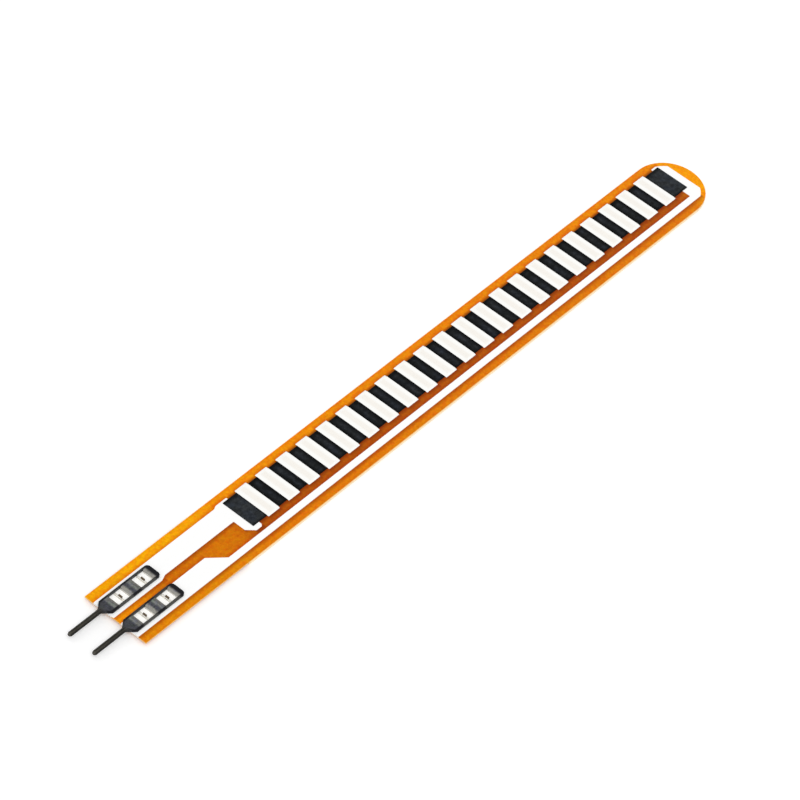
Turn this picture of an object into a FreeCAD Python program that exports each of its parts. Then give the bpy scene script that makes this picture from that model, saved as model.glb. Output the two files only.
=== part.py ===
import FreeCAD, Part
import math
import os
import Sketcher

# Flex sensor: a printed carbon strip with silver pads on an amber film, read
# through two leads and two crimped pins. Millimetres. X runs along the strip
# to its round tip, Z is up from the printed face, and the origin lies on the
# back face at the middle of the carbon strip.

doc = FreeCAD.newDocument("flex_sensor")

# Driving dimensions: name, value, meaning
dimensions = [
    ("film_width", 6.35, "width of the cut film"),
    ("film_thickness", 0.13, "printed base film"),
    ("backing_thickness", 0.25, "stiffening film behind the strip"),
    ("active_length", 55.37, "length of the carbon strip"),
    ("tail_length", 14.74, "film before the carbon strip"),
    ("tip_margin", 1.83, "film past the carbon strip"),
    ("backing_lead", 2.9, "backing that starts ahead of the carbon"),
    ("silver_thickness", 0.02, "printed silver ink"),
    ("carbon_thickness", 0.03, "printed carbon ink"),
    ("carbon_width", 3.24, "width of the carbon strip"),
    ("pad_pitch", 2.41, "spacing of the silver pads"),
    ("pad_width", 1.33, "length of one pad along the strip"),
    ("pad_foot_low", 0.15, "pad past the lower carbon edge"),
    ("pad_foot_high", 0.21, "pad past the upper carbon edge"),
    ("bare_end", 1.635, "bare carbon left at each end"),
    ("terminal_pitch", 2.54, "spacing of the two pins"),
    ("near_lead_out", 1.02, "near lead outside its pin's line"),
    ("near_lead_in", 0.87, "near lead inside its pin's line"),
    ("near_lead_dip", 0.23, "widening of the near lead at its terminal"),
    ("dip_ramp", 0.6, "length over which that widening ends"),
    ("return_lead_out", 1.115, "return lead outside its pin's line"),
    ("return_lead_in", 0.71, "return lead inside its pin's line"),
    ("return_pad_gap", 5.2, "return lead's wide part ends ahead of the carbon"),
    ("return_ramp", 1.4, "length of its slanted shoulder"),
    ("trace_width", 0.59, "narrow part of the return lead"),
    ("trace_gap", 0.815, "clear film between that part and the carbon"),
    ("bar_rise", 0.19, "end bar past the upper carbon edge"),
    ("bar_drop", 0.45, "near bar past the lower carbon edge"),
    ("bar_lead", 0.77, "end bar outside the carbon's end"),
    ("bar_lap", 0.65, "end bar under the carbon's end"),
    ("bar_chamfer", 0.65, "large corner cut of the near bar"),
    ("bar_corner", 0.17, "small corner cuts of the near bar"),
    ("print_rim", 0.425, "film left bare round the tip"),
    ("terminal_width", 1.50, "width of the terminal plate"),
    ("terminal_metal", 0.20, "thickness of the terminal plate"),
    ("terminal_corner", 0.35, "rounded far corners of the plate"),
    ("terminal_rounding", 0.04, "rounded top edge of the plate"),
    ("shoulder_setback", 0.30, "plate's full width starts on the film"),
    ("neck_reach", 0.46, "neck of the pin outside the film"),
    ("pin_reach", 3.84, "pin tip outside the film"),
    ("pin_radius", 0.21, "round pin"),
    ("pin_taper", 0.14, "length of the chamfered tip"),
    ("pin_point", 0.13, "radius at the very tip"),
    ("seam_width", 0.05, "seam left where the pin is rolled up"),
    ("seam_depth", 0.07, "depth of that seam"),
    ("window_setback", 1.84, "middle of the first window from the film's end"),
    ("window_pitch", 2.54, "spacing of the two windows"),
    ("window_length", 1.58, "window along the terminal"),
    ("window_width", 1.14, "window across the terminal"),
    ("plate_end", 1.38, "plate past the middle of the second window"),
    ("claw_thickness", 0.10, "claw bent from the window"),
    ("claw_bend", 0.05, "inside radius of the claw's bends"),
    ("claw_play", 0.03, "clearance between a claw and the window's side"),
    ("claw_sag", 0.05, "claw below the film's underside"),
    ("claw_point", 0.04, "thickness at the claw's edge"),
    ("claw_stand", 0.03, "claw's edge above the printed lead"),
    ("claw_meet", 0.01, "half of the gap between two claw edges"),
    ("claw_root", 0.05, "claw's root inside the plate"),
    ("barb_stand", 0.15, "top of a claw's barb above the printed lead"),
    ("barb_width", 0.38, "width of that barb"),
    ("barb_lean", 0.09, "how far its tip leans back"),
    ("barb_root", 0.06, "its root inside the claw's edge"),
    ("slot_play", 0.02, "clearance round a claw in film and lead"),
]

sheet = doc.addObject("Spreadsheet::Sheet", "Sizes")
for number, (alias, value, meaning) in enumerate(dimensions, start=1):
    sheet.set("A%d" % number, alias)
    sheet.set("B%d" % number, str(value))
    sheet.setAlias("B%d" % number, alias)
    sheet.set("C%d" % number, meaning)
doc.recompute()

# Places along the strip, as expressions on the sheet
carbon_start = "(-Sizes.active_length / 2)"
carbon_end = "(Sizes.active_length / 2)"
film_start = "(-Sizes.active_length / 2 - Sizes.tail_length)"
film_tip = "(Sizes.active_length / 2 + Sizes.tip_margin)"
half_width = "(Sizes.film_width / 2)"
backing_start = "(%s - Sizes.backing_lead)" % carbon_start
first_pad = "(%s + Sizes.bare_end + Sizes.pad_width / 2)" % carbon_start
window_middles = [
    "(%s + Sizes.window_setback)" % film_start,
    "(%s + Sizes.window_setback + Sizes.window_pitch)" % film_start,
]
plate_far_end = "(%s + Sizes.plate_end)" % window_middles[1]

# Places across the strip
pin_line = "(Sizes.terminal_pitch / 2)"
near_lead_outer = "(%s + Sizes.near_lead_out)" % pin_line
near_lead_inner = "(%s - Sizes.near_lead_in)" % pin_line
return_lead_outer = "(-%s - Sizes.return_lead_out)" % pin_line
return_lead_inner = "(-%s + Sizes.return_lead_in)" % pin_line
trace_inner = "(%s + Sizes.trace_width)" % return_lead_outer
carbon_low = "(%s + Sizes.trace_gap)" % trace_inner
carbon_high = "(%s + Sizes.carbon_width)" % carbon_low
carbon_middle = "(%s + Sizes.carbon_width / 2)" % carbon_low

# Heights of the layers, up from the back face
film_bottom = "Sizes.backing_thickness"
film_top = "(Sizes.backing_thickness + Sizes.film_thickness)"
lead_top = "(%s + Sizes.silver_thickness)" % film_top
pin_height = "(%s + Sizes.pin_radius)" % lead_top


def read(expression):
    return float(sheet.evalExpression(expression))


def new_body(label):
    body = doc.addObject("PartDesign::Body", label)
    body.Label = label
    return body


def new_sketch(body, role, name, offset=None):
    sketch = body.newObject("Sketcher::SketchObject", name)
    planes = [item for item in body.Origin.OriginFeatures if item.Role == role]
    sketch.AttachmentSupport = (planes[0], [""])
    sketch.MapMode = "FlatFace"
    if offset:
        sketch.setExpression("AttachmentOffset.Base.z", offset)
    return sketch


def line(x, y):
    return {"x": x, "y": y}


def arc(x, y, centre_x, centre_y, radius):
    return {"x": x, "y": y, "centre": (centre_x, centre_y), "radius": radius}


def arc_segment(start, end, centre):
    # Arcs run anticlockwise, so a clockwise stretch is drawn from its far end
    radius = (start - centre).Length
    circle = Part.Circle(centre, FreeCAD.Vector(0, 0, 1), radius)
    anticlockwise = (start - centre).cross(end - centre).z > 0
    first, last = (start, end) if anticlockwise else (end, start)
    first_angle = math.atan2(first.y - centre.y, first.x - centre.x)
    last_angle = math.atan2(last.y - centre.y, last.x - centre.x)
    shape = Part.ArcOfCircle(circle, first_angle, last_angle)
    ends = (1, 2) if anticlockwise else (2, 1)
    return shape, ends


def add_loop(sketch, corners):
    # Each corner says where it lies and how it is reached from the one before
    places = [FreeCAD.Vector(read(c["x"]), read(c["y"]), 0) for c in corners]
    pieces = []
    for index, corner in enumerate(corners):
        start = places[index - 1]
        if "centre" in corner:
            centre = FreeCAD.Vector(*[read(value) for value in corner["centre"]], 0)
            shape, ends = arc_segment(start, places[index], centre)
        else:
            shape = Part.LineSegment(start, places[index])
            ends = (1, 2)
        pieces.append((sketch.addGeometry(shape, False), ends))
    constraints = []
    expressions = []
    for index, corner in enumerate(corners):
        piece, ends = pieces[index]
        following, following_ends = pieces[(index + 1) % len(pieces)]
        joined = (piece, ends[1], following, following_ends[0])
        constraints.append(Sketcher.Constraint("Coincident", *joined))
        expressions.append(None)
        for kind, key, value in (("DistanceX", "x", places[index].x),
                                 ("DistanceY", "y", places[index].y)):
            constraints.append(Sketcher.Constraint(kind, -1, 1, piece, ends[1], value))
            expressions.append(corner[key])
        if "radius" in corner:
            radius = corner["radius"]
            constraints.append(Sketcher.Constraint("Radius", piece, read(radius)))
            expressions.append(radius)
    numbers = sketch.addConstraint(constraints)
    for number, expression in zip(numbers, expressions):
        if expression:
            sketch.setExpression("Constraints[%d]" % number, expression)


def add_rectangle(sketch, middle_x, middle_y, length, width):
    left = "%s - %s / 2" % (middle_x, length)
    right = "%s + %s / 2" % (middle_x, length)
    low = "%s - %s / 2" % (middle_y, width)
    high = "%s + %s / 2" % (middle_y, width)
    add_loop(sketch, [line(left, low), line(right, low), line(right, high), line(left, high)])


def pad(body, sketch, name, length, both_ways=False):
    feature = body.newObject("PartDesign::Pad", name)
    feature.Profile = sketch
    feature.Midplane = both_ways
    feature.setExpression("Length", length)
    doc.recompute()
    return feature


def film_outline(start, inset="0"):
    # A straight strip with a full round tip, made of two quarter turns
    radius = "(%s - %s)" % (half_width, inset)
    centre = "(%s - %s)" % (film_tip, half_width)
    return [
        line(start, "-%s" % radius),
        line(centre, "-%s" % radius),
        arc("%s + %s" % (centre, radius), "0", centre, "0", radius),
        arc(centre, radius, centre, "0", radius),
        line(start, radius),
    ]


def add_claw_slots(sketch, line_y):
    # Through each window go two claw legs at its ends and two edges at its middle
    leg = "(Sizes.claw_thickness + 2 * Sizes.slot_play)"
    edge = "(2 * (Sizes.claw_meet + Sizes.claw_thickness + Sizes.slot_play))"
    width = "(Sizes.window_width - 2 * Sizes.claw_play + 2 * Sizes.slot_play)"
    reach = "(Sizes.window_length / 2 - Sizes.claw_bend - Sizes.claw_thickness / 2)"
    for middle in window_middles:
        add_rectangle(sketch, "%s - %s" % (middle, reach), line_y, leg, width)
        add_rectangle(sketch, middle, line_y, edge, width)
        add_rectangle(sketch, "%s + %s" % (middle, reach), line_y, leg, width)


def make_backing_film():
    body = new_body("backing_film")
    sketch = new_sketch(body, "XY_Plane", "backing_outline")
    add_loop(sketch, film_outline(backing_start))
    pad(body, sketch, "backing_sheet", "Sizes.backing_thickness")
    return body


def make_base_film():
    body = new_body("base_film")
    sketch = new_sketch(body, "XY_Plane", "film_outline", film_bottom)
    add_loop(sketch, film_outline(film_start))
    add_claw_slots(sketch, pin_line)
    add_claw_slots(sketch, "-%s" % pin_line)
    pad(body, sketch, "film_sheet", "Sizes.film_thickness")
    return body


def make_near_lead():
    # From the first pin to a bar under the carbon's near end
    bar_left = "(%s - Sizes.bar_lead)" % carbon_start
    bar_right = "(%s + Sizes.bar_lap)" % carbon_start
    bar_top = "(%s + Sizes.bar_rise)" % carbon_high
    bar_bottom = "(%s - Sizes.bar_drop)" % carbon_low
    dip_end = "(%s + Sizes.dip_ramp / 2)" % plate_far_end
    dip_start = "(%s - Sizes.dip_ramp / 2)" % plate_far_end
    widened = "(%s - Sizes.near_lead_dip)" % near_lead_inner
    body = new_body("near_lead")
    sketch = new_sketch(body, "XY_Plane", "near_lead_outline", film_top)
    add_loop(sketch, [
        line(film_start, widened),
        line(dip_start, widened),
        line(dip_end, near_lead_inner),
        line(bar_left, near_lead_inner),
        line(bar_left, "%s + Sizes.bar_chamfer" % bar_bottom),
        line("%s + Sizes.bar_chamfer" % bar_left, bar_bottom),
        line("%s - Sizes.bar_corner" % bar_right, bar_bottom),
        line(bar_right, "%s + Sizes.bar_corner" % bar_bottom),
        line(bar_right, bar_top),
        line("%s + Sizes.bar_corner" % bar_left, bar_top),
        line("%s - Sizes.bar_corner" % bar_left, near_lead_outer),
        line(film_start, near_lead_outer),
    ])
    add_claw_slots(sketch, pin_line)
    pad(body, sketch, "near_lead_print", "Sizes.silver_thickness")
    return body


def make_return_lead():
    # From the second pin, narrowing beside the carbon, to a bar under its far end
    wide_end = "(%s - Sizes.return_pad_gap)" % carbon_start
    bar_left = "(%s - Sizes.bar_lap)" % carbon_end
    bar_right = "(%s + Sizes.bar_lead)" % carbon_end
    bar_top = "(%s + Sizes.bar_rise)" % carbon_high
    print_body = new_body("return_lead_print")
    sketch = new_sketch(print_body, "XY_Plane", "return_lead_outline", film_top)
    add_loop(sketch, [
        line(film_start, return_lead_outer),
        line(bar_right, return_lead_outer),
        line(bar_right, bar_top),
        line(bar_left, bar_top),
        line(bar_left, trace_inner),
        line("%s + Sizes.return_ramp" % wide_end, trace_inner),
        line(wide_end, return_lead_inner),
        line(film_start, return_lead_inner),
    ])
    add_claw_slots(sketch, "-%s" % pin_line)
    pad(print_body, sketch, "return_lead_sheet", "Sizes.silver_thickness")
    # The far bar's corners follow the round tip, a rim's width inside it
    border = new_body("print_border")
    sketch = new_sketch(border, "XY_Plane", "border_outline", film_top)
    add_loop(sketch, film_outline(film_start, "Sizes.print_rim"))
    pad(border, sketch, "border_sheet", "Sizes.silver_thickness")
    lead = doc.addObject("Part::Common", "return_lead")
    lead.Label = "return_lead"
    lead.Base = print_body
    lead.Tool = border
    doc.recompute()
    return lead


def make_carbon_strip():
    # Printed last but one, so each end climbs over the bar beneath it
    near_step = "(%s + Sizes.bar_lap)" % carbon_start
    far_step = "(%s - Sizes.bar_lap)" % carbon_end
    climb = "Sizes.carbon_thickness"
    low_top = "(%s + Sizes.carbon_thickness)" % film_top
    high_top = "(%s + Sizes.carbon_thickness)" % lead_top
    body = new_body("carbon_strip")
    body.setExpression("Placement.Base.y", carbon_middle)
    sketch = new_sketch(body, "XZ_Plane", "carbon_section")
    add_loop(sketch, [
        line(carbon_start, lead_top),
        line(near_step, lead_top),
        line(near_step, film_top),
        line(far_step, film_top),
        line(far_step, lead_top),
        line(carbon_end, lead_top),
        line(carbon_end, high_top),
        line("%s - %s" % (far_step, climb), high_top),
        line("%s - %s" % (far_step, climb), low_top),
        line("%s + %s" % (near_step, climb), low_top),
        line("%s + %s" % (near_step, climb), high_top),
        line(carbon_start, high_top),
    ])
    pad(body, sketch, "carbon_print", "Sizes.carbon_width", both_ways=True)
    return body


def make_silver_pad(number):
    # A ribbon of ink that bridges the carbon and has a foot on the film each side
    over_carbon = "(%s + Sizes.carbon_thickness)" % film_top
    low_foot = "(%s - Sizes.pad_foot_low)" % carbon_low
    high_foot = "(%s + Sizes.pad_foot_high)" % carbon_high
    ink = "Sizes.silver_thickness"
    body = new_body("silver_pad_%02d" % (number + 1))
    body.setExpression("Placement.Base.x", "%s + %d * Sizes.pad_pitch" % (first_pad, number))
    sketch = new_sketch(body, "YZ_Plane", "pad_section_%02d" % (number + 1))
    add_loop(sketch, [
        line(low_foot, film_top),
        line(carbon_low, film_top),
        line(carbon_low, over_carbon),
        line(carbon_high, over_carbon),
        line(carbon_high, film_top),
        line(high_foot, film_top),
        line(high_foot, lead_top),
        line("%s + %s" % (carbon_high, ink), lead_top),
        line("%s + %s" % (carbon_high, ink), "%s + %s" % (over_carbon, ink)),
        line("%s - %s" % (carbon_low, ink), "%s + %s" % (over_carbon, ink)),
        line("%s - %s" % (carbon_low, ink), lead_top),
        line(low_foot, lead_top),
    ])
    pad(body, sketch, "pad_print_%02d" % (number + 1), "Sizes.pad_width", both_ways=True)
    return body


# Heights in a terminal, measured from its pin's axis
plate_bottom = "(-Sizes.pin_radius)"
plate_top = "(-Sizes.pin_radius + Sizes.terminal_metal)"
claw_run_top = "(-Sizes.pin_radius - Sizes.silver_thickness - Sizes.film_thickness - Sizes.claw_sag)"
claw_edge_top = "(-Sizes.pin_radius + Sizes.claw_stand)"
barb_top = "(-Sizes.pin_radius + Sizes.barb_stand)"


def claw_place(middle, side, distance):
    # Place at a distance from the window's end towards its middle. Side is -1
    # for the claw nearest the pin and 1 for the other.
    return "%s + %d * (Sizes.window_length / 2 - (%s))" % (middle, side, distance)


def add_claw(sketch, middle, side):
    # One claw in section: it bends down at the window's end, passes the film,
    # runs back beneath it and turns up to a thin edge at the window's middle
    metal = "Sizes.claw_thickness"
    bend = "Sizes.claw_bend"
    outer = "(Sizes.claw_bend + Sizes.claw_thickness)"
    meet = "(Sizes.window_length / 2 - Sizes.claw_meet)"

    def along(distance):
        return claw_place(middle, side, distance)

    bend_level = "%s - %s" % (plate_top, outer)
    run_level = "%s + %s" % (claw_run_top, bend)
    run_bottom = "%s - %s" % (claw_run_top, metal)
    leg_turn = "%s + %s" % (outer, bend)
    edge_turn = "%s - %s" % (meet, outer)
    add_loop(sketch, [
        line(along("-Sizes.claw_root"), plate_top),
        line(along("0"), plate_top),
        arc(along(outer), bend_level, along("0"), bend_level, outer),
        line(along(outer), run_level),
        arc(along(leg_turn), claw_run_top, along(leg_turn), run_level, bend),
        line(along(edge_turn), claw_run_top),
        arc(along("%s - %s" % (meet, metal)), run_level, along(edge_turn), run_level, bend),
        line(along("%s - Sizes.claw_point" % meet), claw_edge_top),
        line(along(meet), claw_edge_top),
        line(along(meet), run_level),
        arc(along(edge_turn), run_bottom, along(edge_turn), run_level, outer),
        line(along(leg_turn), run_bottom),
        arc(along(bend), run_level, along(leg_turn), run_level, outer),
        line(along(bend), bend_level),
        arc(along("0"), "%s - %s" % (plate_top, metal), along("0"), bend_level, bend),
        line(along("-Sizes.claw_root"), "%s - %s" % (plate_top, metal)),
    ])


def add_barb(sketch, middle, side):
    # The narrow barb that stands on a claw's edge, leaning away from its twin
    meet = "(Sizes.window_length / 2 - Sizes.claw_meet)"
    metal = "Sizes.claw_point"
    lean = "Sizes.barb_lean"
    root = "%s - Sizes.barb_root" % claw_edge_top

    def along(distance):
        return claw_place(middle, side, distance)

    add_loop(sketch, [
        line(along(meet), root),
        line(along("%s - %s" % (meet, lean)), barb_top),
        line(along("%s - %s - %s" % (meet, lean, metal)), barb_top),
        line(along("%s - %s" % (meet, metal)), root),
    ])


def add_plate(body, name):
    shoulder = "(%s + Sizes.shoulder_setback)" % film_start
    side = "(Sizes.terminal_width / 2)"
    corner = "Sizes.terminal_corner"
    straight_end = "(%s - %s)" % (plate_far_end, corner)
    corner_side = "(%s - %s)" % (side, corner)
    sketch = new_sketch(body, "XY_Plane", name + "_outline", plate_bottom)
    add_loop(sketch, [
        line(shoulder, "-%s" % side),
        line(straight_end, "-%s" % side),
        arc(plate_far_end, "-%s" % corner_side, straight_end, "-%s" % corner_side, corner),
        line(plate_far_end, corner_side),
        arc(straight_end, side, straight_end, corner_side, corner),
        line(shoulder, side),
    ])
    for middle in window_middles:
        add_rectangle(sketch, middle, "0", "Sizes.window_length", "Sizes.window_width")
    pad(body, sketch, name + "_plate", "Sizes.terminal_metal")


def round_plate_edge(body, name):
    # The punch leaves the top edge rounded along both sides and the far end
    doc.recompute()
    plate = body.Tip
    level = read(plate_top)
    side = read("Sizes.terminal_width / 2")
    window_side = read("Sizes.window_width / 2")
    far_window_end = read("%s + Sizes.window_length / 2" % window_middles[1])
    chosen = []
    for number, edge in enumerate(plate.Shape.Edges, start=1):
        box = edge.BoundBox
        on_top = abs(box.ZMin - level) < 1e-6 and abs(box.ZMax - level) < 1e-6
        reach = max(abs(box.YMin), abs(box.YMax))
        outside = reach > window_side + 1e-6 or box.XMin > far_window_end + 1e-6
        along_side = box.XLength > 1e-6 or box.XMin > far_window_end
        if on_top and outside and along_side and reach <= side + 1e-6:
            chosen.append("Edge%d" % number)
    fillet = body.newObject("PartDesign::Fillet", name + "_rounding")
    fillet.Base = (plate, chosen)
    fillet.setExpression("Radius", "Sizes.terminal_rounding")
    doc.recompute()


def add_neck(body, name):
    # The flat plate gathers into the round pin
    shoulder = "(%s + Sizes.shoulder_setback)" % film_start
    neck = "(%s - Sizes.neck_reach)" % film_start
    side = "(Sizes.terminal_width / 2)"
    turn = "(Sizes.pin_radius * sqrt(0.5))"
    flat = new_sketch(body, "YZ_Plane", name + "_flat", shoulder)
    add_loop(flat, [
        line("-%s" % side, plate_bottom),
        line(side, plate_bottom),
        line(side, plate_top),
        line("-%s" % side, plate_top),
    ])
    ring = new_sketch(body, "YZ_Plane", name + "_ring", neck)
    radius = "Sizes.pin_radius"
    add_loop(ring, [
        arc("-%s" % turn, "-%s" % turn, "0", "0", radius),
        arc(turn, "-%s" % turn, "0", "0", radius),
        arc(turn, turn, "0", "0", radius),
        arc("-%s" % turn, turn, "0", "0", radius),
    ])
    doc.recompute()
    loft = body.newObject("PartDesign::AdditiveLoft", name + "_neck")
    loft.Profile = flat
    loft.Sections = [ring]
    loft.Ruled = True
    doc.recompute()


def add_pin(body, name):
    neck = "(%s - Sizes.neck_reach)" % film_start
    tip = "(%s - Sizes.pin_reach)" % film_start
    sketch = new_sketch(body, "XZ_Plane", name + "_pin_section")
    add_loop(sketch, [
        line(tip, "0"),
        line(neck, "0"),
        line(neck, "Sizes.pin_radius"),
        line("%s + Sizes.pin_taper" % tip, "Sizes.pin_radius"),
        line(tip, "Sizes.pin_point"),
    ])
    pin = body.newObject("PartDesign::Revolution", name + "_pin")
    pin.Profile = sketch
    pin.ReferenceAxis = (sketch, ["H_Axis"])
    pin.Angle = 360
    doc.recompute()


def cut_seam(body, name):
    # The rolled strip meets along the top of the neck and pin
    start = "(%s - Sizes.pin_reach + Sizes.pin_taper)" % film_start
    end = "(%s + Sizes.shoulder_setback / 2)" % film_start
    sketch = new_sketch(body, "XY_Plane", name + "_seam_outline",
                        "Sizes.pin_radius - Sizes.seam_depth")
    add_loop(sketch, [
        line(start, "-Sizes.seam_width / 2"),
        line(end, "-Sizes.seam_width / 2"),
        line(end, "Sizes.seam_width / 2"),
        line(start, "Sizes.seam_width / 2"),
    ])
    seam = body.newObject("PartDesign::Pocket", name + "_seam")
    seam.Profile = sketch
    seam.Type = "Length"
    seam.Reversed = True
    seam.setExpression("Length", "2 * Sizes.seam_depth")
    doc.recompute()


def make_terminal(label, line_y):
    # One stamped piece: windowed plate, clinched claws, neck and rolled pin
    body = new_body(label)
    body.setExpression("Placement.Base.y", line_y)
    body.setExpression("Placement.Base.z", pin_height)
    add_plate(body, label)
    round_plate_edge(body, label)
    add_neck(body, label)
    add_pin(body, label)
    uncut = body.Shape.Volume
    cut_seam(body, label)
    if body.Shape.Volume >= uncut:
        raise RuntimeError("%s: the seam cuts nothing" % label)
    sketch = new_sketch(body, "XZ_Plane", label + "_claw_section")
    for middle in window_middles:
        add_claw(sketch, middle, -1)
        add_claw(sketch, middle, 1)
    pad(body, sketch, label + "_claws", "Sizes.window_width - 2 * Sizes.claw_play",
        both_ways=True)
    sketch = new_sketch(body, "XZ_Plane", label + "_barb_section")
    for middle in window_middles:
        add_barb(sketch, middle, -1)
        add_barb(sketch, middle, 1)
    pad(body, sketch, label + "_barbs", "Sizes.barb_width", both_ways=True)
    return body


nodes = [
    make_backing_film(),
    make_base_film(),
    make_near_lead(),
    make_return_lead(),
    make_carbon_strip(),
]
pad_room = read("Sizes.active_length - 2 * Sizes.bare_end - Sizes.pad_width")
pad_count = 1 + int(pad_room // read("Sizes.pad_pitch"))
for number in range(pad_count):
    nodes.append(make_silver_pad(number))
nodes.append(make_terminal("terminal_pin_near", pin_line))
nodes.append(make_terminal("terminal_pin_return", "-%s" % pin_line))
doc.recompute()

for item in doc.Objects:
    if "Invalid" in item.State or "Error" in item.State:
        raise RuntimeError("%s failed: %s" % (item.Name, item.State))
for node in nodes:
    if node.Shape.isNull() or not node.Shape.isValid() or len(node.Shape.Solids) != 1:
        raise RuntimeError("%s has no valid single solid" % node.Label)

os.makedirs("parts", exist_ok=True)
for node in nodes:
    node.Shape.exportStep("parts/%s.step" % node.Label)
    box = node.Shape.BoundBox
    print("%-20s %8.4f mm3  x %.3f %.3f  y %.3f %.3f  z %.3f %.3f" % (
        node.Label, node.Shape.Volume, box.XMin, box.XMax, box.YMin, box.YMax,
        box.ZMin, box.ZMax))
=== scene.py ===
import math

import bmesh
import bpy
from mathutils import Matrix, Vector


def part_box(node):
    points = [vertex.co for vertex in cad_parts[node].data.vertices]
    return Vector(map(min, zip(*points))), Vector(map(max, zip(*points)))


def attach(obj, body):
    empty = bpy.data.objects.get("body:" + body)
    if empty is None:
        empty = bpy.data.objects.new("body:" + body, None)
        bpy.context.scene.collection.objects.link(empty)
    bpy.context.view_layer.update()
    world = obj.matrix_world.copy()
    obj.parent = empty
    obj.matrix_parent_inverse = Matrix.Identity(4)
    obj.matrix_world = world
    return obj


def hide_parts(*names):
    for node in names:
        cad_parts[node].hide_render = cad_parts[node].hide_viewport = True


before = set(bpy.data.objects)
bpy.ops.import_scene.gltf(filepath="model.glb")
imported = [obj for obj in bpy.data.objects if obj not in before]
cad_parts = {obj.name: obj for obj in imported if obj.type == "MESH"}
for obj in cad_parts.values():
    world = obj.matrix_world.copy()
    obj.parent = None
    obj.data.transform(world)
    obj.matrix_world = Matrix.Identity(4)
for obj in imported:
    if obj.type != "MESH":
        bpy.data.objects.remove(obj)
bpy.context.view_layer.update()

# Lengths below are millimetres and angles are degrees
mm = 0.001
perMetre = 1000


def tone(red, green, blue):
    # A colour written as 0 to 255, as the shader's linear values
    def linear(value):
        share = value / 255
        return share / 12.92 if share <= 0.04045 else ((share + 0.055) / 1.055) ** 2.4
    return (linear(red), linear(green), linear(blue), 1.0)


def boxMm(nodeName):
    low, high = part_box(nodeName)
    return low * perMetre, high * perMetre


# Places that patterns follow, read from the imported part
filmLow, filmHigh = boxMm("base_film")
backLow, backHigh = boxMm("backing_film")
carbonLow, carbonHigh = boxMm("carbon_strip")
nearLow, nearHigh = boxMm("near_lead")
returnLow, returnHigh = boxMm("return_lead")
pinLow, pinHigh = boxMm("terminal_pin_near")
padNames = sorted(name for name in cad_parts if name.startswith("silver_pad_"))
padLow, padHigh = boxMm(padNames[0])
padPitch = boxMm(padNames[1])[0].x - padLow.x
padHalf = (padHigh.x - padLow.x) / 2
lastPadEnd = boxMm(padNames[-1])[1].x
pinLine = (pinLow.y + pinHigh.y) / 2
print("frame loaded:", len(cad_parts), "nodes")


class Wire:
    # One output socket: arithmetic on it adds Math nodes
    def __init__(self, graph, socket):
        self.graph = graph
        self.socket = socket

    def calc(self, operation, first, second=0.0):
        settings = {"operation": operation}
        return self.graph.node("ShaderNodeMath", settings, {0: first, 1: second})

    def __add__(self, other):
        return self.calc("ADD", self, other)

    def __radd__(self, other):
        return self.calc("ADD", other, self)

    def __sub__(self, other):
        return self.calc("SUBTRACT", self, other)

    def __rsub__(self, other):
        return self.calc("SUBTRACT", other, self)

    def __mul__(self, other):
        return self.calc("MULTIPLY", self, other)

    def __rmul__(self, other):
        return self.calc("MULTIPLY", other, self)

    def __truediv__(self, other):
        return self.calc("DIVIDE", self, other)

    def __abs__(self):
        return self.calc("ABSOLUTE", self)

    def larger(self, other):
        return self.calc("MAXIMUM", self, other)


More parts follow.
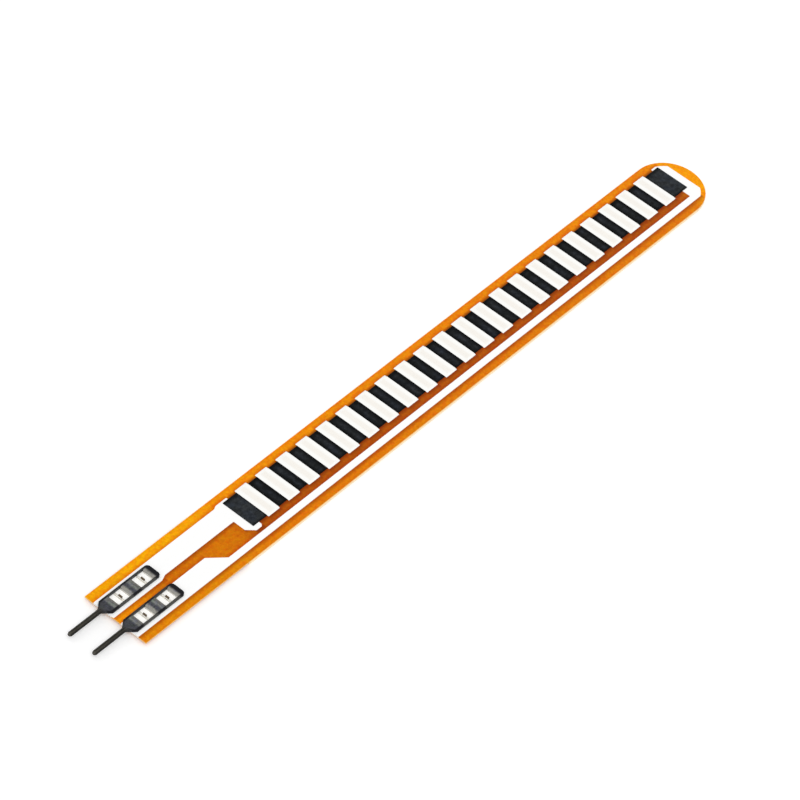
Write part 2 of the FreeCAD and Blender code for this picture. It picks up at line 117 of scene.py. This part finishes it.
class Graph:
    # The nodes of one material, or of the world
    def __init__(self, owner):
        self.owner = owner
        owner.use_nodes = True
        self.tree = owner.node_tree
        self.tree.nodes.clear()

    def node(self, kind, settings=None, sockets=None, output=0):
        made = self.tree.nodes.new(kind)
        for key, value in (settings or {}).items():
            setattr(made, key, value)
        for key, value in (sockets or {}).items():
            if isinstance(value, Wire):
                self.tree.links.new(value.socket, made.inputs[key])
            else:
                made.inputs[key].default_value = value
        return Wire(self, made.outputs[output])

    def place(self):
        # Object coordinates in millimetres, and their three parts
        raw = self.node("ShaderNodeTexCoord", output="Object")
        sockets = {"Vector": raw, "Scale": (perMetre, perMetre, perMetre)}
        spot = self.node("ShaderNodeMapping", {"vector_type": "POINT"}, sockets)
        split = self.node("ShaderNodeSeparateXYZ", None, {0: spot}).socket.node
        return spot, [Wire(self, part) for part in split.outputs]

    def noise(self, spot, scale, detail=2.0, stretch=(1, 1, 1), shift=0.0):
        spread = self.node("ShaderNodeMapping", {"vector_type": "POINT"},
                           {"Vector": spot, "Scale": stretch, "Location": (shift, shift, shift)})
        sockets = {"Vector": spread, "Scale": scale, "Detail": detail, "Roughness": 0.55}
        return self.node("ShaderNodeTexNoise", {"noise_dimensions": "3D"}, sockets)

    def ease(self, value, low, high):
        # 0 below low, 1 above high, eased between
        sockets = {"Value": value, "From Min": low, "From Max": high}
        return self.node("ShaderNodeMapRange", {"interpolation_type": "SMOOTHSTEP"}, sockets)

    def band(self, value, low, high, soft):
        # 1 between low and high, with soft edges
        return self.ease(value, low - soft, low + soft) - self.ease(value, high - soft, high + soft)

    def mix(self, amount, first, second, blend="MIX"):
        settings = {"data_type": "RGBA", "blend_type": blend}
        return self.node("ShaderNodeMix", settings, {0: amount, 6: first, 7: second}, 2)

    def shade(self, colour, amount):
        # The colour with its brightness multiplied by amount
        grey = self.node("ShaderNodeCombineXYZ", None, {0: amount, 1: amount, 2: amount})
        return self.mix(1.0, colour, grey, "MULTIPLY")

    def tint(self, colour, amount, multiplier):
        # The colour multiplied by another one where amount is 1
        return self.mix(amount, colour, self.mix(1.0, colour, multiplier, "MULTIPLY"))

    def bump(self, height, strength, depth):
        sockets = {"Strength": strength, "Distance": depth * mm, "Height": height}
        return self.node("ShaderNodeBump", None, sockets)

    def output(self, kind, surface):
        made = self.tree.nodes.new(kind)
        self.tree.links.new(surface.socket, made.inputs["Surface"])

    def finish(self, sockets):
        surface = self.node("ShaderNodeBsdfPrincipled", None, sockets)
        self.output("ShaderNodeOutputMaterial", surface)
        return self.owner


def newMaterial(name):
    return Graph(bpy.data.materials.new(name))


# Edges of the printed leads, which the painted shade of the film around them follows
leadLook = {"nearOut": 1.02, "nearIn": 0.87, "nearDip": 0.23, "returnIn": 0.71, "trace": 0.59,
            "barLead": 0.77, "barLap": 0.65, "barChamfer": 0.65, "padGap": 5.2}
barLeft = carbonLow.x - leadLook["barLead"]
farBarLeft = carbonHigh.x - leadLook["barLap"]
wideEnd = carbonLow.x - leadLook["padGap"]
nearOuter = pinLine + leadLook["nearOut"]
nearInner = pinLine - leadLook["nearIn"]
nearDip = nearInner - leadLook["nearDip"]
returnInner = leadLook["returnIn"] - pinLine
traceInner = returnLow.y + leadLook["trace"]
chamfer = leadLook["barChamfer"]
prints = (
    # Left, right, low and high of each printed area
    (filmLow.x - 1, pinHigh.x, nearDip, nearOuter),
    (pinHigh.x, barLeft, nearInner, nearOuter),
    (barLeft, nearHigh.x, nearLow.y + chamfer, nearHigh.y),
    (barLeft + chamfer, nearHigh.x, nearLow.y, nearHigh.y),
    (filmLow.x - 1, wideEnd, returnLow.y, returnInner),
    (wideEnd, returnHigh.x - chamfer, returnLow.y, traceInner),
    (carbonLow.x, carbonHigh.x, carbonLow.y, carbonHigh.y),
    (farBarLeft, returnHigh.x - chamfer, returnLow.y, returnHigh.y),
)

# The terminal's own places, from the film's end and from its pin's line
terminalLook = {"windowSetback": 1.84, "windowPitch": 2.54, "windowHalf": 0.79,
                "windowSide": 0.57, "slotReach": 0.3, "slotSide": 0.60, "plateHalf": 0.75,
                "neckStart": 0.30, "neckReach": 0.46, "neckHalf": 0.21, "barbHalf": 0.20,
                "barbReach": 0.25}


def atWindows(g, x, low, high, soft):
    # 1 where x lies between two distances from the middle of either window
    first = filmLow.x + terminalLook["windowSetback"]
    second = first + terminalLook["windowPitch"]
    one = g.band(x, first + low, first + high, soft)
    return one.larger(g.band(x, second + low, second + high, soft))


filmLook = {
    # Margin tones: painted light makes each upper margin lighter than the lower one
    "tailTop": (246, 167, 0), "tailBottom": (223, 131, 0),
    "mainTop": (239, 145, 0), "mainBottom": (221, 119, 0), "farTop": (234, 134, 0),
    # Film between the leads: painted shade, lighter towards the tail's end
    "inner": (208, 112, 0), "innerEnd": (255, 158, 0), "innerThin": (177, 82, 0),
    "tip": (245, 155, 0), "paintedEdgeGlow": (247, 196, 104), "throughInk": (236, 176, 70),
    "ranInk": (254, 252, 246),
    # Where the colours change along the strip
    "deepFrom": 0.8, "deepTo": 2.6, "glowFrom": 0.5, "glowTo": 6.0, "thinFrom": 1.2, "thinTo": 1.0,
    "tipFrom": 1.4, "tipTo": 0.9,
    # Multipliers and reaches of the painted shade beside prints and above the carbon, and of the
    # deeper line along the upper edge
    "below": (0.57, 0.38, 0.3, 1), "above": (0.84, 0.58, 0.4, 1), "byCarbon": (0.40, 0.42, 0.5, 1),
    "byEdge": (0.97, 0.86, 0.8, 1),
    "reachBelow": 0.48, "reachAbove": 0.42, "reachAlong": 0.16, "reachCarbon": 0.34,
    "edgeFrom": 0.28, "edgeTo": 0.08,
    # Mottle: shares of each noise in the brightness, and patches of another hue
    "redder": (1.0, 0.72, 0.5, 1), "yellower": (1.03, 1.24, 0.8, 1), "patchScale": 2.8,
    "patchLow": 0.44, "patchHigh": 0.66, "patchShare": 0.75,
    "base": 0.45, "streak": 0.16, "cloud": 0.16, "speck": 0.55, "grain": 0.27,
    "roughness": 0.27, "specular": 0.18,
}
amberGlint = (1.0, 0.60, 0.06, 1.0)


def padPhase(g, x):
    # Distance along the strip from the middle of the nearest pad
    shifted = x - (padLow.x + padHalf)
    return g.node("ShaderNodeMath", {"operation": "PINGPONG"}, {0: shifted, 1: padPitch / 2})


def besidePrints(g, x, y):
    # 1 at the lower and at the upper edge of any print, fading to 0 a little outside it: where the
    # film gets painted shade
    look = filmLook
    reach = look["reachAlong"]

    def edges(along, low, high):
        below = along * g.ease(y, low - look["reachBelow"], low) * (1 - g.ease(y, low, low + 0.1))
        above = along * (1 - g.ease(y, high, high + look["reachAbove"]))
        return below, above * g.ease(y, high - 0.1, high)

    onPad = 1 - g.ease(padPhase(g, x), padHalf, padHalf + reach)
    onPad = onPad * g.band(x, carbonLow.x + 1, carbonHigh.x - 1, 0.1)
    below, above = edges(onPad, padLow.y, padHigh.y)
    for left, right, low, high in prints:
        along = g.ease(x, left - reach, left) * (1 - g.ease(x, right, right + reach))
        oneBelow, oneAbove = edges(along, low, high)
        below = below.larger(oneBelow)
        above = above.larger(oneAbove)
    return below, above


def filmMaterial():
    look = filmLook
    g = newMaterial("amberFilm")
    spot, (x, y, z) = g.place()
    # Painted light: across the strip the film is painted lighter towards its upper edge; over the
    # backing it is a deeper amber than the bare tail
    across = (y - filmLow.y) / (filmHigh.y - filmLow.y)
    tail = g.mix(across, tone(*look["tailBottom"]), tone(*look["tailTop"]))
    mainTop = g.mix(g.ease(x, carbonLow.x, 0), tone(*look["mainTop"]), tone(*look["farTop"]))
    main = g.mix(across, tone(*look["mainBottom"]), mainTop)
    deep = g.ease(x, backLow.x - look["deepFrom"], backLow.x + look["deepTo"])
    colour = g.mix(deep, tail, main)
    # Painted shade on the film between the two leads, deepest on the thin line of it beside the
    # carbon; towards the tail's end it is painted lighter, as if lit through
    endGlow = 1 - g.ease(x, filmLow.x + look["glowFrom"], filmLow.x + look["glowTo"])
    wide = g.mix(endGlow, tone(*look["inner"]), tone(*look["innerEnd"]))
    thin = g.ease(x, barLeft - look["thinFrom"], barLeft + look["thinTo"])
    innerColour = g.mix(thin, wide, tone(*look["innerThin"]))
    # Its own edges lie hidden under the prints
    top = nearInner + thin * (carbonHigh.y - 0.3 - nearInner)
    inner = g.ease(y, returnLow.y + 0.2, returnLow.y + 0.4) * (1 - g.ease(y - top, 0.1, 0.3))
    inner = inner * (1 - g.ease(x, farBarLeft + 0.3, farBarLeft + 0.5))
    colour = g.mix(inner, colour, innerColour)
    # Painted glow: the film is painted lighter towards its round tip
    atTip = g.ease(x, carbonHigh.x - look["tipFrom"], filmHigh.x - look["tipTo"])
    colour = g.mix(atTip, colour, tone(*look["tip"]))
    # Painted shade: right beside any print the film is painted deeper, most of all below it
    below, above = besidePrints(g, x, y)
    onTop = g.ease(z, filmHigh.z - 0.012, filmHigh.z - 0.004)
    colour = g.tint(colour, below * onTop, look["below"])
    colour = g.tint(colour, above * onTop, look["above"])
    # Painted shade on the film just above the carbon
    byCarbon = 1 - g.ease(y, carbonHigh.y, carbonHigh.y + look["reachCarbon"])
    byCarbon = byCarbon * g.ease(y, carbonHigh.y - 0.1, carbonHigh.y)
    byCarbon = byCarbon * g.band(x, carbonLow.x, carbonHigh.x, 0.05)
    colour = g.tint(colour, byCarbon * onTop, look["byCarbon"])
    atEdge = g.ease(y, filmHigh.y - look["edgeFrom"], filmHigh.y - look["edgeTo"])
    colour = g.tint(colour, atEdge, look["byEdge"])
    # Rolled film: faint streaks along it, clouds, redder and yellower patches, fine grain
    streak = g.noise(spot, 1.0, 3.0, (0.05, 3.0, 1))
    cloud = g.noise(spot, 0.6, 4.0)
    patch = g.noise(spot, look["patchScale"], 3.0, shift=7.0)
    gold = g.noise(spot, look["patchScale"], 3.0, shift=13.0)
    speck = g.noise(spot, 4.5, 3.0)
    grain = g.noise(spot, 11.0, 2.0)
    for patches, hue in ((patch, look["redder"]), (gold, look["yellower"])):
        amount = g.ease(patches, look["patchLow"], look["patchHigh"]) * look["patchShare"]
        colour = g.tint(colour, amount, hue)
    mottle = streak * look["streak"] + cloud * look["cloud"] + speck * look["speck"]
    colour = g.shade(colour, look["base"] + (mottle + grain * look["grain"]))
    # Painted glow: the cut edge is painted paler, as if light came through it
    paintedEdgeGlow = 1 - g.ease(z, filmHigh.z - 0.03, filmHigh.z - 0.012)
    colour = g.mix(paintedEdgeGlow, colour, tone(*look["paintedEdgeGlow"]))
    leads = g.band(y, nearInner, nearOuter, 0.05)
    leads = leads.larger(g.band(y, returnLow.y, returnInner, 0.05))
    # Ink that ran over the cut end and into the slots of the claws, painted white in the slots also
    # to lift their shade
    slot, slotSide = terminalLook["slotReach"], terminalLook["slotSide"]
    besidePin = g.ease(abs(abs(y) - pinLine), slotSide, slotSide + 0.04)
    ran = atWindows(g, x, -slot, slot, 0.02) * (1 - besidePin)
    ran = ran.larger(leads * (1 - g.ease(x, filmLow.x + 0.004, filmLow.x + 0.012)))
    colour = g.mix(ran, colour, tone(*look["ranInk"]))
    # The leads show faintly through the back of the tail
    under = 1 - g.ease(z, filmLow.z + 0.002, filmLow.z + 0.01)
    underColour = g.mix(leads * 0.6, g.mix(cloud, tail, tone(*look["inner"])),
                        tone(*look["throughInk"]))
    colour = g.mix(under, colour, underColour)
    height = cloud * 0.5 + streak * 0.3 + grain * 0.2
    return g.finish({
        "Base Color": colour,
        "Roughness": look["roughness"] + speck * 0.12,
        "Specular IOR Level": look["specular"],
        "Specular Tint": amberGlint,
        "Normal": g.bump(height, 0.25, 0.02),
    })


backingLook = {"light": (214, 122, 4), "deep": (190, 98, 0), "paintedEdgeGlow": (253, 235, 200),
               "seam": 0.12, "roughness": 0.36, "specular": 0.25}


def backingMaterial():
    look = backingLook
    g = newMaterial("backingFilm")
    spot, (_, _, z) = g.place()
    cloud = g.noise(spot, 0.4, 4.0)
    streak = g.noise(spot, 1.0, 3.0, (0.05, 2.4, 1))
    grain = g.noise(spot, 9.0, 2.0)
    mottle = cloud * 0.5 + streak * 0.35 + grain * 0.15
    colour = g.mix(mottle, tone(*look["deep"]), tone(*look["light"]))
    # Painted glow: all of the backing but its underside is painted pale, which shows on its cut
    # sides
    colour = g.mix(g.ease(z, 0.004, 0.02), colour, tone(*look["paintedEdgeGlow"]))
    # The glue line under the printed film
    seam = g.ease(z, backHigh.z - 0.04, backHigh.z - 0.02)
    colour = g.shade(colour, (0.92 + grain * 0.16) * (1 - seam * look["seam"]))
    return g.finish({
        "Base Color": colour,
        "Roughness": look["roughness"] + grain * 0.12,
        "Specular IOR Level": look["specular"],
        "Specular Tint": amberGlint,
        "Normal": g.bump(mottle, 0.3, 0.02),
    })


silverLook = {"lead": (255, 255, 253), "pad": (249, 245, 238), "rim": (255, 255, 252),
              "paintedGlow": (0.09, 0.085, 0.07, 1), "paintedLeadGlow": (0.018, 0.018, 0.03, 1),
              "rimStart": 0.52, "rimFull": 0.26, "endRim": 0.35, "windowEdge": 0.8,
              "padBase": 0.90, "padFlake": 0.14, "padCloud": 0.06,
              "leadBase": 0.98, "leadFlake": 0.02, "leadCloud": 0.02,
              "roughness": 0.42, "specular": 0.12}


def silverMaterial():
    look = silverLook
    g = newMaterial("silverInk")
    spot, (x, y, _) = g.place()
    # Each pad dries with a whiter border of thicker ink
    longEdge = g.ease(padPhase(g, x), padHalf - look["rimStart"], padHalf - look["rimFull"])
    highEdge = g.ease(y, padHigh.y - look["endRim"], padHigh.y - 0.1)
    lowEdge = 1 - g.ease(y, padLow.y + 0.1, padLow.y + look["endRim"])
    rim = longEdge.larger(highEdge.larger(lowEdge))
    onPads = g.band(x, nearHigh.x, lastPadEnd + 0.2, 0.02)
    onPads = onPads * g.ease(y, padLow.y - 0.1, padLow.y - 0.02)
    flake = g.noise(spot, 12.0, 3.0)
    cloud = g.noise(spot, 2.2, 3.0)
    bodyShade = look["padBase"] + flake * look["padFlake"] + cloud * look["padCloud"]
    padColour = g.mix(rim, g.shade(tone(*look["pad"]), bodyShade), tone(*look["rim"]))
    leadShade = look["leadBase"] + flake * look["leadFlake"] + cloud * look["leadCloud"]
    leadColour = g.shade(tone(*look["lead"]), leadShade)
    colour = g.mix(onPads, leadColour, padColour)
    weave = g.noise(spot, 20.0, 1.0)
    # Painted glow: emission lifts the leads a little, most of all in the shade inside the
    # terminals' windows
    inWindow = atWindows(g, x, -look["windowEdge"], look["windowEdge"], 0.02)
    inWindow = inWindow * (1 - g.ease(abs(abs(y) - pinLine), 0.55, 0.6))
    paintedGlow = g.mix(onPads, look["paintedLeadGlow"], (0, 0, 0, 1))
    paintedGlow = g.mix(inWindow, paintedGlow, look["paintedGlow"])
    return g.finish({
        "Base Color": colour,
        "Emission Color": paintedGlow,
        "Emission Strength": 1.0,
        "Roughness": look["roughness"] + flake * 0.2,
        "Specular IOR Level": look["specular"],
        "Normal": g.bump(weave * 0.5 + flake * 0.5, 0.35, 0.006),
    })


carbonLook = {"body": (20, 22, 23), "cloud": (31, 33, 36), "bare": (49, 52, 54),
              "bluer": (0.9, 0.97, 1.15, 1), "bareShare": 0.8,
              "besideFrom": 0.08, "besideTo": 0.54, "gapPale": 1.62, "gapDark": 1.34,
              "edgeDark": 0.75, "grain": 0.9, "speck": 2.4, "base": -0.68,
              "roughness": 0.62, "specular": 0.06}


def carbonMaterial():
    look = carbonLook
    g = newMaterial("carbonInk")
    spot, (x, y, _) = g.place()
    cloud = g.noise(spot, 1.3, 3.0)
    patch = g.noise(spot, 1.1, 2.0, shift=4.0)
    speck = g.noise(spot, 3.6, 3.0)
    grain = g.noise(spot, 14.0, 3.0)
    colour = g.mix(g.ease(cloud, 0.35, 0.7), tone(*look["body"]), tone(*look["cloud"]))
    # The bare ends look a little paler than the gaps between pads
    bare = 1 - g.band(x, padLow.x - 0.1, lastPadEnd + 0.1, 0.1)
    colour = g.mix(bare * look["bareShare"], colour, tone(*look["bare"]))
    colour = g.tint(colour, g.ease(patch, 0.4, 0.7), look["bluer"])
    edge = g.ease(y, carbonHigh.y - 0.5, carbonHigh.y - 0.1)
    edge = edge.larger(1 - g.ease(y, carbonLow.y + 0.02, carbonLow.y + 0.3))
    # Painted shade: each gap is darkest right beside its pads
    besidePad = 1 - g.ease(padPhase(g, x), padHalf + look["besideFrom"],
                           padHalf + look["besideTo"])
    gapShade = look["gapPale"] - besidePad * look["gapDark"] * (1 - bare)
    gapShade = gapShade - bare * (look["gapPale"] - 1)
    mottle = grain * look["grain"] + speck * look["speck"] + look["base"]
    colour = g.shade(colour, mottle * (1 - edge * look["edgeDark"]) * gapShade)
    return g.finish({
        "Base Color": colour,
        "Roughness": look["roughness"] + grain * 0.16,
        "Specular IOR Level": look["specular"],
        "Normal": g.bump(grain, 0.5, 0.008),
    })


metalLook = {
    "plate": (76, 77, 82), "paintedFarHighlight": (148, 145, 138), "paintedStripeHighlight": (118, 119, 115),
    "paintedEdgeShade": (26, 26, 30), "rail": (58, 58, 56), "paintedLitLowRail": (76, 76, 73),
    "funnel": (66, 67, 71), "under": (150, 150, 146),
    "pin": (62, 60, 54), "pinFlankShade": (42, 41, 37),
    "paintedLitFarBend": (226, 225, 220), "paintedLitFarBendTop": (150, 148, 142), "paintedShadeNearBend": (112, 110, 105),
    "paintedClawHighlight": (252, 250, 244), "barb": (104, 88, 68),
    "greener": (0.9, 1.05, 0.95, 1), "bluer": (0.92, 0.95, 1.15, 1),
    "glowReach": 0.17, "stripeFrom": 0.40, "stripeTo": 0.16, "outlineFrom": 0.24,
    "outlineTo": 0.14, "cloud": 1.1, "spots": 1.7, "base": -0.4,
    "metallic": 0.8, "roughness": 0.34, "specular": 0.25,
}


def metalMaterial():
    look = metalLook
    t = terminalLook
    g = newMaterial("terminalMetal")
    spot, (x, y, z) = g.place()
    line = y - g.node("ShaderNodeMath", {"operation": "SIGN"}, {0: y}) * pinLine
    side = abs(line)
    half = t["windowHalf"]

    def windows(low, high, soft):
        return atWindows(g, x, low, high, soft)

    cloud = g.noise(spot, 3.2, 3.0)
    spots = g.noise(spot, 8.0, 3.0)
    patch = g.noise(spot, 2.6, 2.0, shift=3.0)
    grain = g.noise(spot, 22.0, 2.0, (0.4, 1.5, 1))
    # Painted highlights: the plate is painted lighter past each window and in a stripe ahead of it
    colour = g.mix(windows(half - 0.1, half + look["glowReach"], 0.11), tone(*look["plate"]),
                   tone(*look["paintedFarHighlight"]))
    paintedStripeHighlight = windows(-half - look["stripeFrom"], -half - look["stripeTo"], 0.10)
    colour = g.mix(paintedStripeHighlight, colour, tone(*look["paintedStripeHighlight"]))
    # Painted shade on the plate where the near claw bends down
    colour = g.mix(windows(-half - 0.12, -half + 0.1, 0.05), colour, tone(*look["paintedShadeNearBend"]))
    funnel = 1 - g.ease(x, filmLow.x + 0.45, filmLow.x + 0.75)
    colour = g.mix(funnel, colour, tone(*look["funnel"]))
    colour = g.tint(colour, g.ease(patch, 0.45, 0.7), look["bluer"])
    colour = g.tint(colour, 1 - g.ease(patch, 0.3, 0.45), look["greener"])
    colour = g.shade(colour, cloud * look["cloud"] + spots * look["spots"] + look["base"])
    # Painted shade: its outline is painted nearly black; the rails beside the windows are painted a
    # little lighter, the lower rail lightest as if lit
    rail = g.mix(g.ease(line, -0.1, 0.1), tone(*look["paintedLitLowRail"]), tone(*look["rail"]))
    rim = g.mix(windows(-half, half, 0.15), tone(*look["paintedEdgeShade"]), rail)
    reach = t["neckHalf"] + (t["plateHalf"] - t["neckHalf"]) * g.ease(
        x, filmLow.x - t["neckReach"], filmLow.x + t["neckStart"])
    paintedEdgeShade = g.ease(side - reach, -look["outlineFrom"], -look["outlineTo"])
    paintedEdgeShade = paintedEdgeShade.larger(g.ease(x, pinHigh.x - 0.62, pinHigh.x - 0.30))
    colour = g.mix(paintedEdgeShade * g.ease(x, filmLow.x - 0.2, filmLow.x), colour, rim)
    # Painted light and shade on the claws: the one on the pin's side of a window is painted shaded,
    # the other lit and darker higher up, with a painted highlight where they meet
    inWindow = windows(-half, half, 0.02)
    inWindow = inWindow * (1 - g.ease(side, t["windowSide"] - 0.04, t["windowSide"]))
    bend = g.ease(z, filmHigh.z + 0.06, pinLow.z + 0.46)
    paintedLitFarBend = g.mix(bend, tone(*look["paintedLitFarBend"]), tone(*look["paintedLitFarBendTop"]))
    claw = g.mix(windows(0, half + 0.1, 0.05), tone(*look["paintedShadeNearBend"]), paintedLitFarBend)
    claw = g.mix(windows(-0.25, 0.3, 0.05), claw, tone(*look["paintedClawHighlight"]))
    # Painted shadow under the barbs, in a dark brown
    barb = windows(0, t["barbReach"], 0.01)
    barb = barb * (1 - g.ease(side, t["barbHalf"], t["barbHalf"] + 0.02))
    barb = barb * g.ease(z, filmHigh.z + 0.035, filmHigh.z + 0.06)
    claw = g.mix(barb, claw, tone(*look["barb"]))
    colour = g.mix(inWindow, colour, claw)
    # The neck gathers into the rolled pin; painted shade darkens it along its flanks
    pinShade = g.mix(g.ease(side, 0.08, 0.2), tone(*look["pin"]), tone(*look["pinFlankShade"]))
    worn = g.noise(spot, 2.4, 3.0, shift=9.0)
    pinShade = g.shade(pinShade, 0.1 + worn * 1.8)
    pin = 1 - g.ease(x, filmLow.x - 0.6, filmLow.x + 0.1)
    colour = g.mix(pin, colour, pinShade)
    # Bare tin beneath the film
    under = 1 - g.ease(z, filmLow.z - 0.03, filmLow.z)
    colour = g.mix(under * g.ease(x, filmLow.x + 0.3, filmLow.x + 0.6), colour,
                   tone(*look["under"]))
    colour = g.shade(colour, 0.86 + grain * 0.28)
    return g.finish({
        "Base Color": colour,
        "Metallic": look["metallic"],
        "Roughness": look["roughness"] + grain * 0.16 + cloud * 0.08,
        "Specular IOR Level": look["specular"],
        "Normal": g.bump(grain * 0.5 + spots * 0.5, 0.35, 0.008),
    })


filmFinish = filmMaterial()
backingFinish = backingMaterial()
silverFinish = silverMaterial()
carbonFinish = carbonMaterial()
metalFinish = metalMaterial()
print("materials made")


def dress(thing, material):
    thing.data.materials.clear()
    thing.data.materials.append(material)


def newObject(name, data):
    made = bpy.data.objects.new(name, data)
    bpy.context.scene.collection.objects.link(made)
    return made


def meshObject(name, shape):
    # Turns a bmesh into a finished object
    mesh = bpy.data.meshes.new(name)
    shape.to_mesh(mesh)
    shape.free()
    return newObject(name, mesh)


dress(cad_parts["base_film"], filmFinish)
dress(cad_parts["backing_film"], backingFinish)

# How each printed or stamped piece is softened: a radius of 0 leaves it as it is
inkSoftening = {"cornerRadius": 0.10, "cornerSteps": 4, "edgeRadius": 0.006, "edgeSteps": 2}
carbonSoftening = {"cornerRadius": 0.05, "cornerSteps": 3, "edgeRadius": 0.008, "edgeSteps": 2}
metalSoftening = {"cornerRadius": 0, "edgeRadius": 0}
meshRules = {"mergeWithin": 0.0005, "flatAngle": 0.5, "cornerAngle": 60, "edgeAngle": 50,
             "smoothAngle": 35, "uprightShare": 0.9}


def isUpright(edge):
    along = edge.verts[1].co - edge.verts[0].co
    return abs(along.z) > meshRules["uprightShare"] * along.length


def sharpEdges(shape, limit):
    return [edge for edge in shape.edges
            if edge.is_manifold and edge.calc_face_angle() > math.radians(limit)]


def softCopy(nodeName, pieceName, material, soften):
    # A copy of a CAD piece that stands for it, rounded by the radii in its settings
    shape = bmesh.new()
    shape.from_mesh(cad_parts[nodeName].data)
    bmesh.ops.scale(shape, vec=(perMetre, perMetre, perMetre), verts=shape.verts)
    bmesh.ops.remove_doubles(shape, verts=shape.verts, dist=meshRules["mergeWithin"])
    bmesh.ops.dissolve_limit(shape, angle_limit=math.radians(meshRules["flatAngle"]),
                             verts=shape.verts, edges=shape.edges)
    if soften["cornerRadius"]:
        corners = [edge for edge in sharpEdges(shape, meshRules["cornerAngle"]) if isUpright(edge)]
        bmesh.ops.bevel(shape, geom=corners, offset=soften["cornerRadius"], affect="EDGES",
                        segments=soften["cornerSteps"], profile=0.5, material=-1,
                        clamp_overlap=True)
    if soften["edgeRadius"]:
        edges = sharpEdges(shape, meshRules["edgeAngle"])
        bmesh.ops.bevel(shape, geom=edges, offset=soften["edgeRadius"], affect="EDGES",
                        segments=soften["edgeSteps"], profile=0.5, material=-1,
                        clamp_overlap=True)
    bmesh.ops.scale(shape, vec=(mm, mm, mm), verts=shape.verts)
    for face in shape.faces:
        face.smooth = True
    for edge in sharpEdges(shape, meshRules["smoothAngle"]):
        edge.smooth = False
    piece = meshObject(pieceName, shape)
    # Large flat faces keep their own normals beside the tiny rounded ones
    even = piece.modifiers.new("evenNormals", "WEIGHTED_NORMAL")
    even.keep_sharp = True
    dress(piece, material)
    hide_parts(nodeName)
    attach(piece, "root")


for number, padName in enumerate(padNames, start=1):
    softCopy(padName, "silverPad%02d" % number, silverFinish, inkSoftening)
softCopy("near_lead", "nearLead", silverFinish, inkSoftening)
softCopy("return_lead", "returnLead", silverFinish, inkSoftening)
softCopy("carbon_strip", "carbonStrip", carbonFinish, carbonSoftening)
softCopy("terminal_pin_near", "pinNear", metalFinish, metalSoftening)
softCopy("terminal_pin_return", "pinReturn", metalFinish, metalSoftening)
print("printed and stamped pieces softened")


# Floor, light and camera
floorLook = {"size": 3000, "drop": 0.01, "colour": (254, 254, 254),
             "lift": (0.11, 0.11, 0.11, 1), "roughness": 0.9}
lightLook = {"sky": 0.73, "sun": 0.96, "sunAngle": 40, "sunAzimuth": -140, "sunElevation": 56}
cameraLook = {"aim": (-9.013, -0.144, 0.387), "distance": 378.73, "azimuth": -57.073,
              "elevation": 46.440, "roll": 10.31, "lens": 213.02, "sensor": 36.0}


def seenDirectly(g):
    # 1 where a ray comes from the camera, a reflection or a clear material
    kinds = ("Is Camera Ray", "Is Glossy Ray", "Is Transmission Ray")
    camera, glossy, clear = [g.node("ShaderNodeLightPath", output=kind) for kind in kinds]
    return camera.larger(glossy).larger(clear)


def makeFloor():
    look = floorLook
    shape = bmesh.new()
    bmesh.ops.create_grid(shape, x_segments=1, y_segments=1, size=look["size"] * mm / 2)
    bmesh.ops.translate(shape, vec=(0, 0, -look["drop"] * mm), verts=shape.verts)
    floor = meshObject("floor", shape)
    g = newMaterial("floorPaper")
    lift = g.mix(seenDirectly(g), (0, 0, 0, 1), look["lift"])
    dress(floor, g.finish({
        "Base Color": tone(*look["colour"]),
        "Emission Color": lift,
        "Emission Strength": 1.0,
        "Roughness": look["roughness"],
        "Specular IOR Level": 0.0,
    }))


def makeSky():
    world = bpy.data.worlds.new("studio")
    bpy.context.scene.world = world
    g = Graph(world)
    sockets = {"Value": seenDirectly(g), "To Min": lightLook["sky"], "To Max": 1.0}
    strength = g.node("ShaderNodeMapRange", None, sockets)
    back = g.node("ShaderNodeBackground", None, {"Color": (1, 1, 1, 1), "Strength": strength})
    g.output("ShaderNodeOutputWorld", back)


def makeSun():
    look = lightLook
    lamp = bpy.data.lights.new("softSun", "SUN")
    lamp.energy = look["sun"]
    lamp.angle = math.radians(look["sunAngle"])
    sun = newObject("softSun", lamp)
    turn, rise = math.radians(look["sunAzimuth"]), math.radians(look["sunElevation"])
    towards = Vector((math.cos(turn) * math.cos(rise), math.sin(turn) * math.cos(rise),
                      math.sin(rise)))
    sun.rotation_mode = "QUATERNION"
    sun.rotation_quaternion = (-towards).to_track_quat("-Z", "Y")


def makeCamera():
    look = cameraLook
    turn, rise = math.radians(look["azimuth"]), math.radians(look["elevation"])
    roll = math.radians(look["roll"])
    back = Vector((math.sin(turn) * math.cos(rise), -math.cos(turn) * math.cos(rise),
                   math.sin(rise)))
    right = Vector((math.cos(turn), math.sin(turn), 0))
    up = back.cross(right)
    rolledRight = right * math.cos(roll) + up * math.sin(roll)
    rolledUp = up * math.cos(roll) - right * math.sin(roll)
    lens = bpy.data.cameras.new("photoView")
    lens.lens = look["lens"]
    lens.sensor_width = look["sensor"]
    lens.clip_start, lens.clip_end = 0.001, 20.0
    camera = newObject("photoView", lens)
    place = (Vector(look["aim"]) + back * look["distance"]) * mm
    axes = Matrix((rolledRight, rolledUp, back)).transposed()
    camera.matrix_world = Matrix.Translation(place) @ axes.to_4x4()
    bpy.context.scene.camera = camera


makeFloor()
makeSky()
makeSun()
makeCamera()
bpy.context.scene.view_settings.view_transform = "Standard"
print("floor, light and camera set")
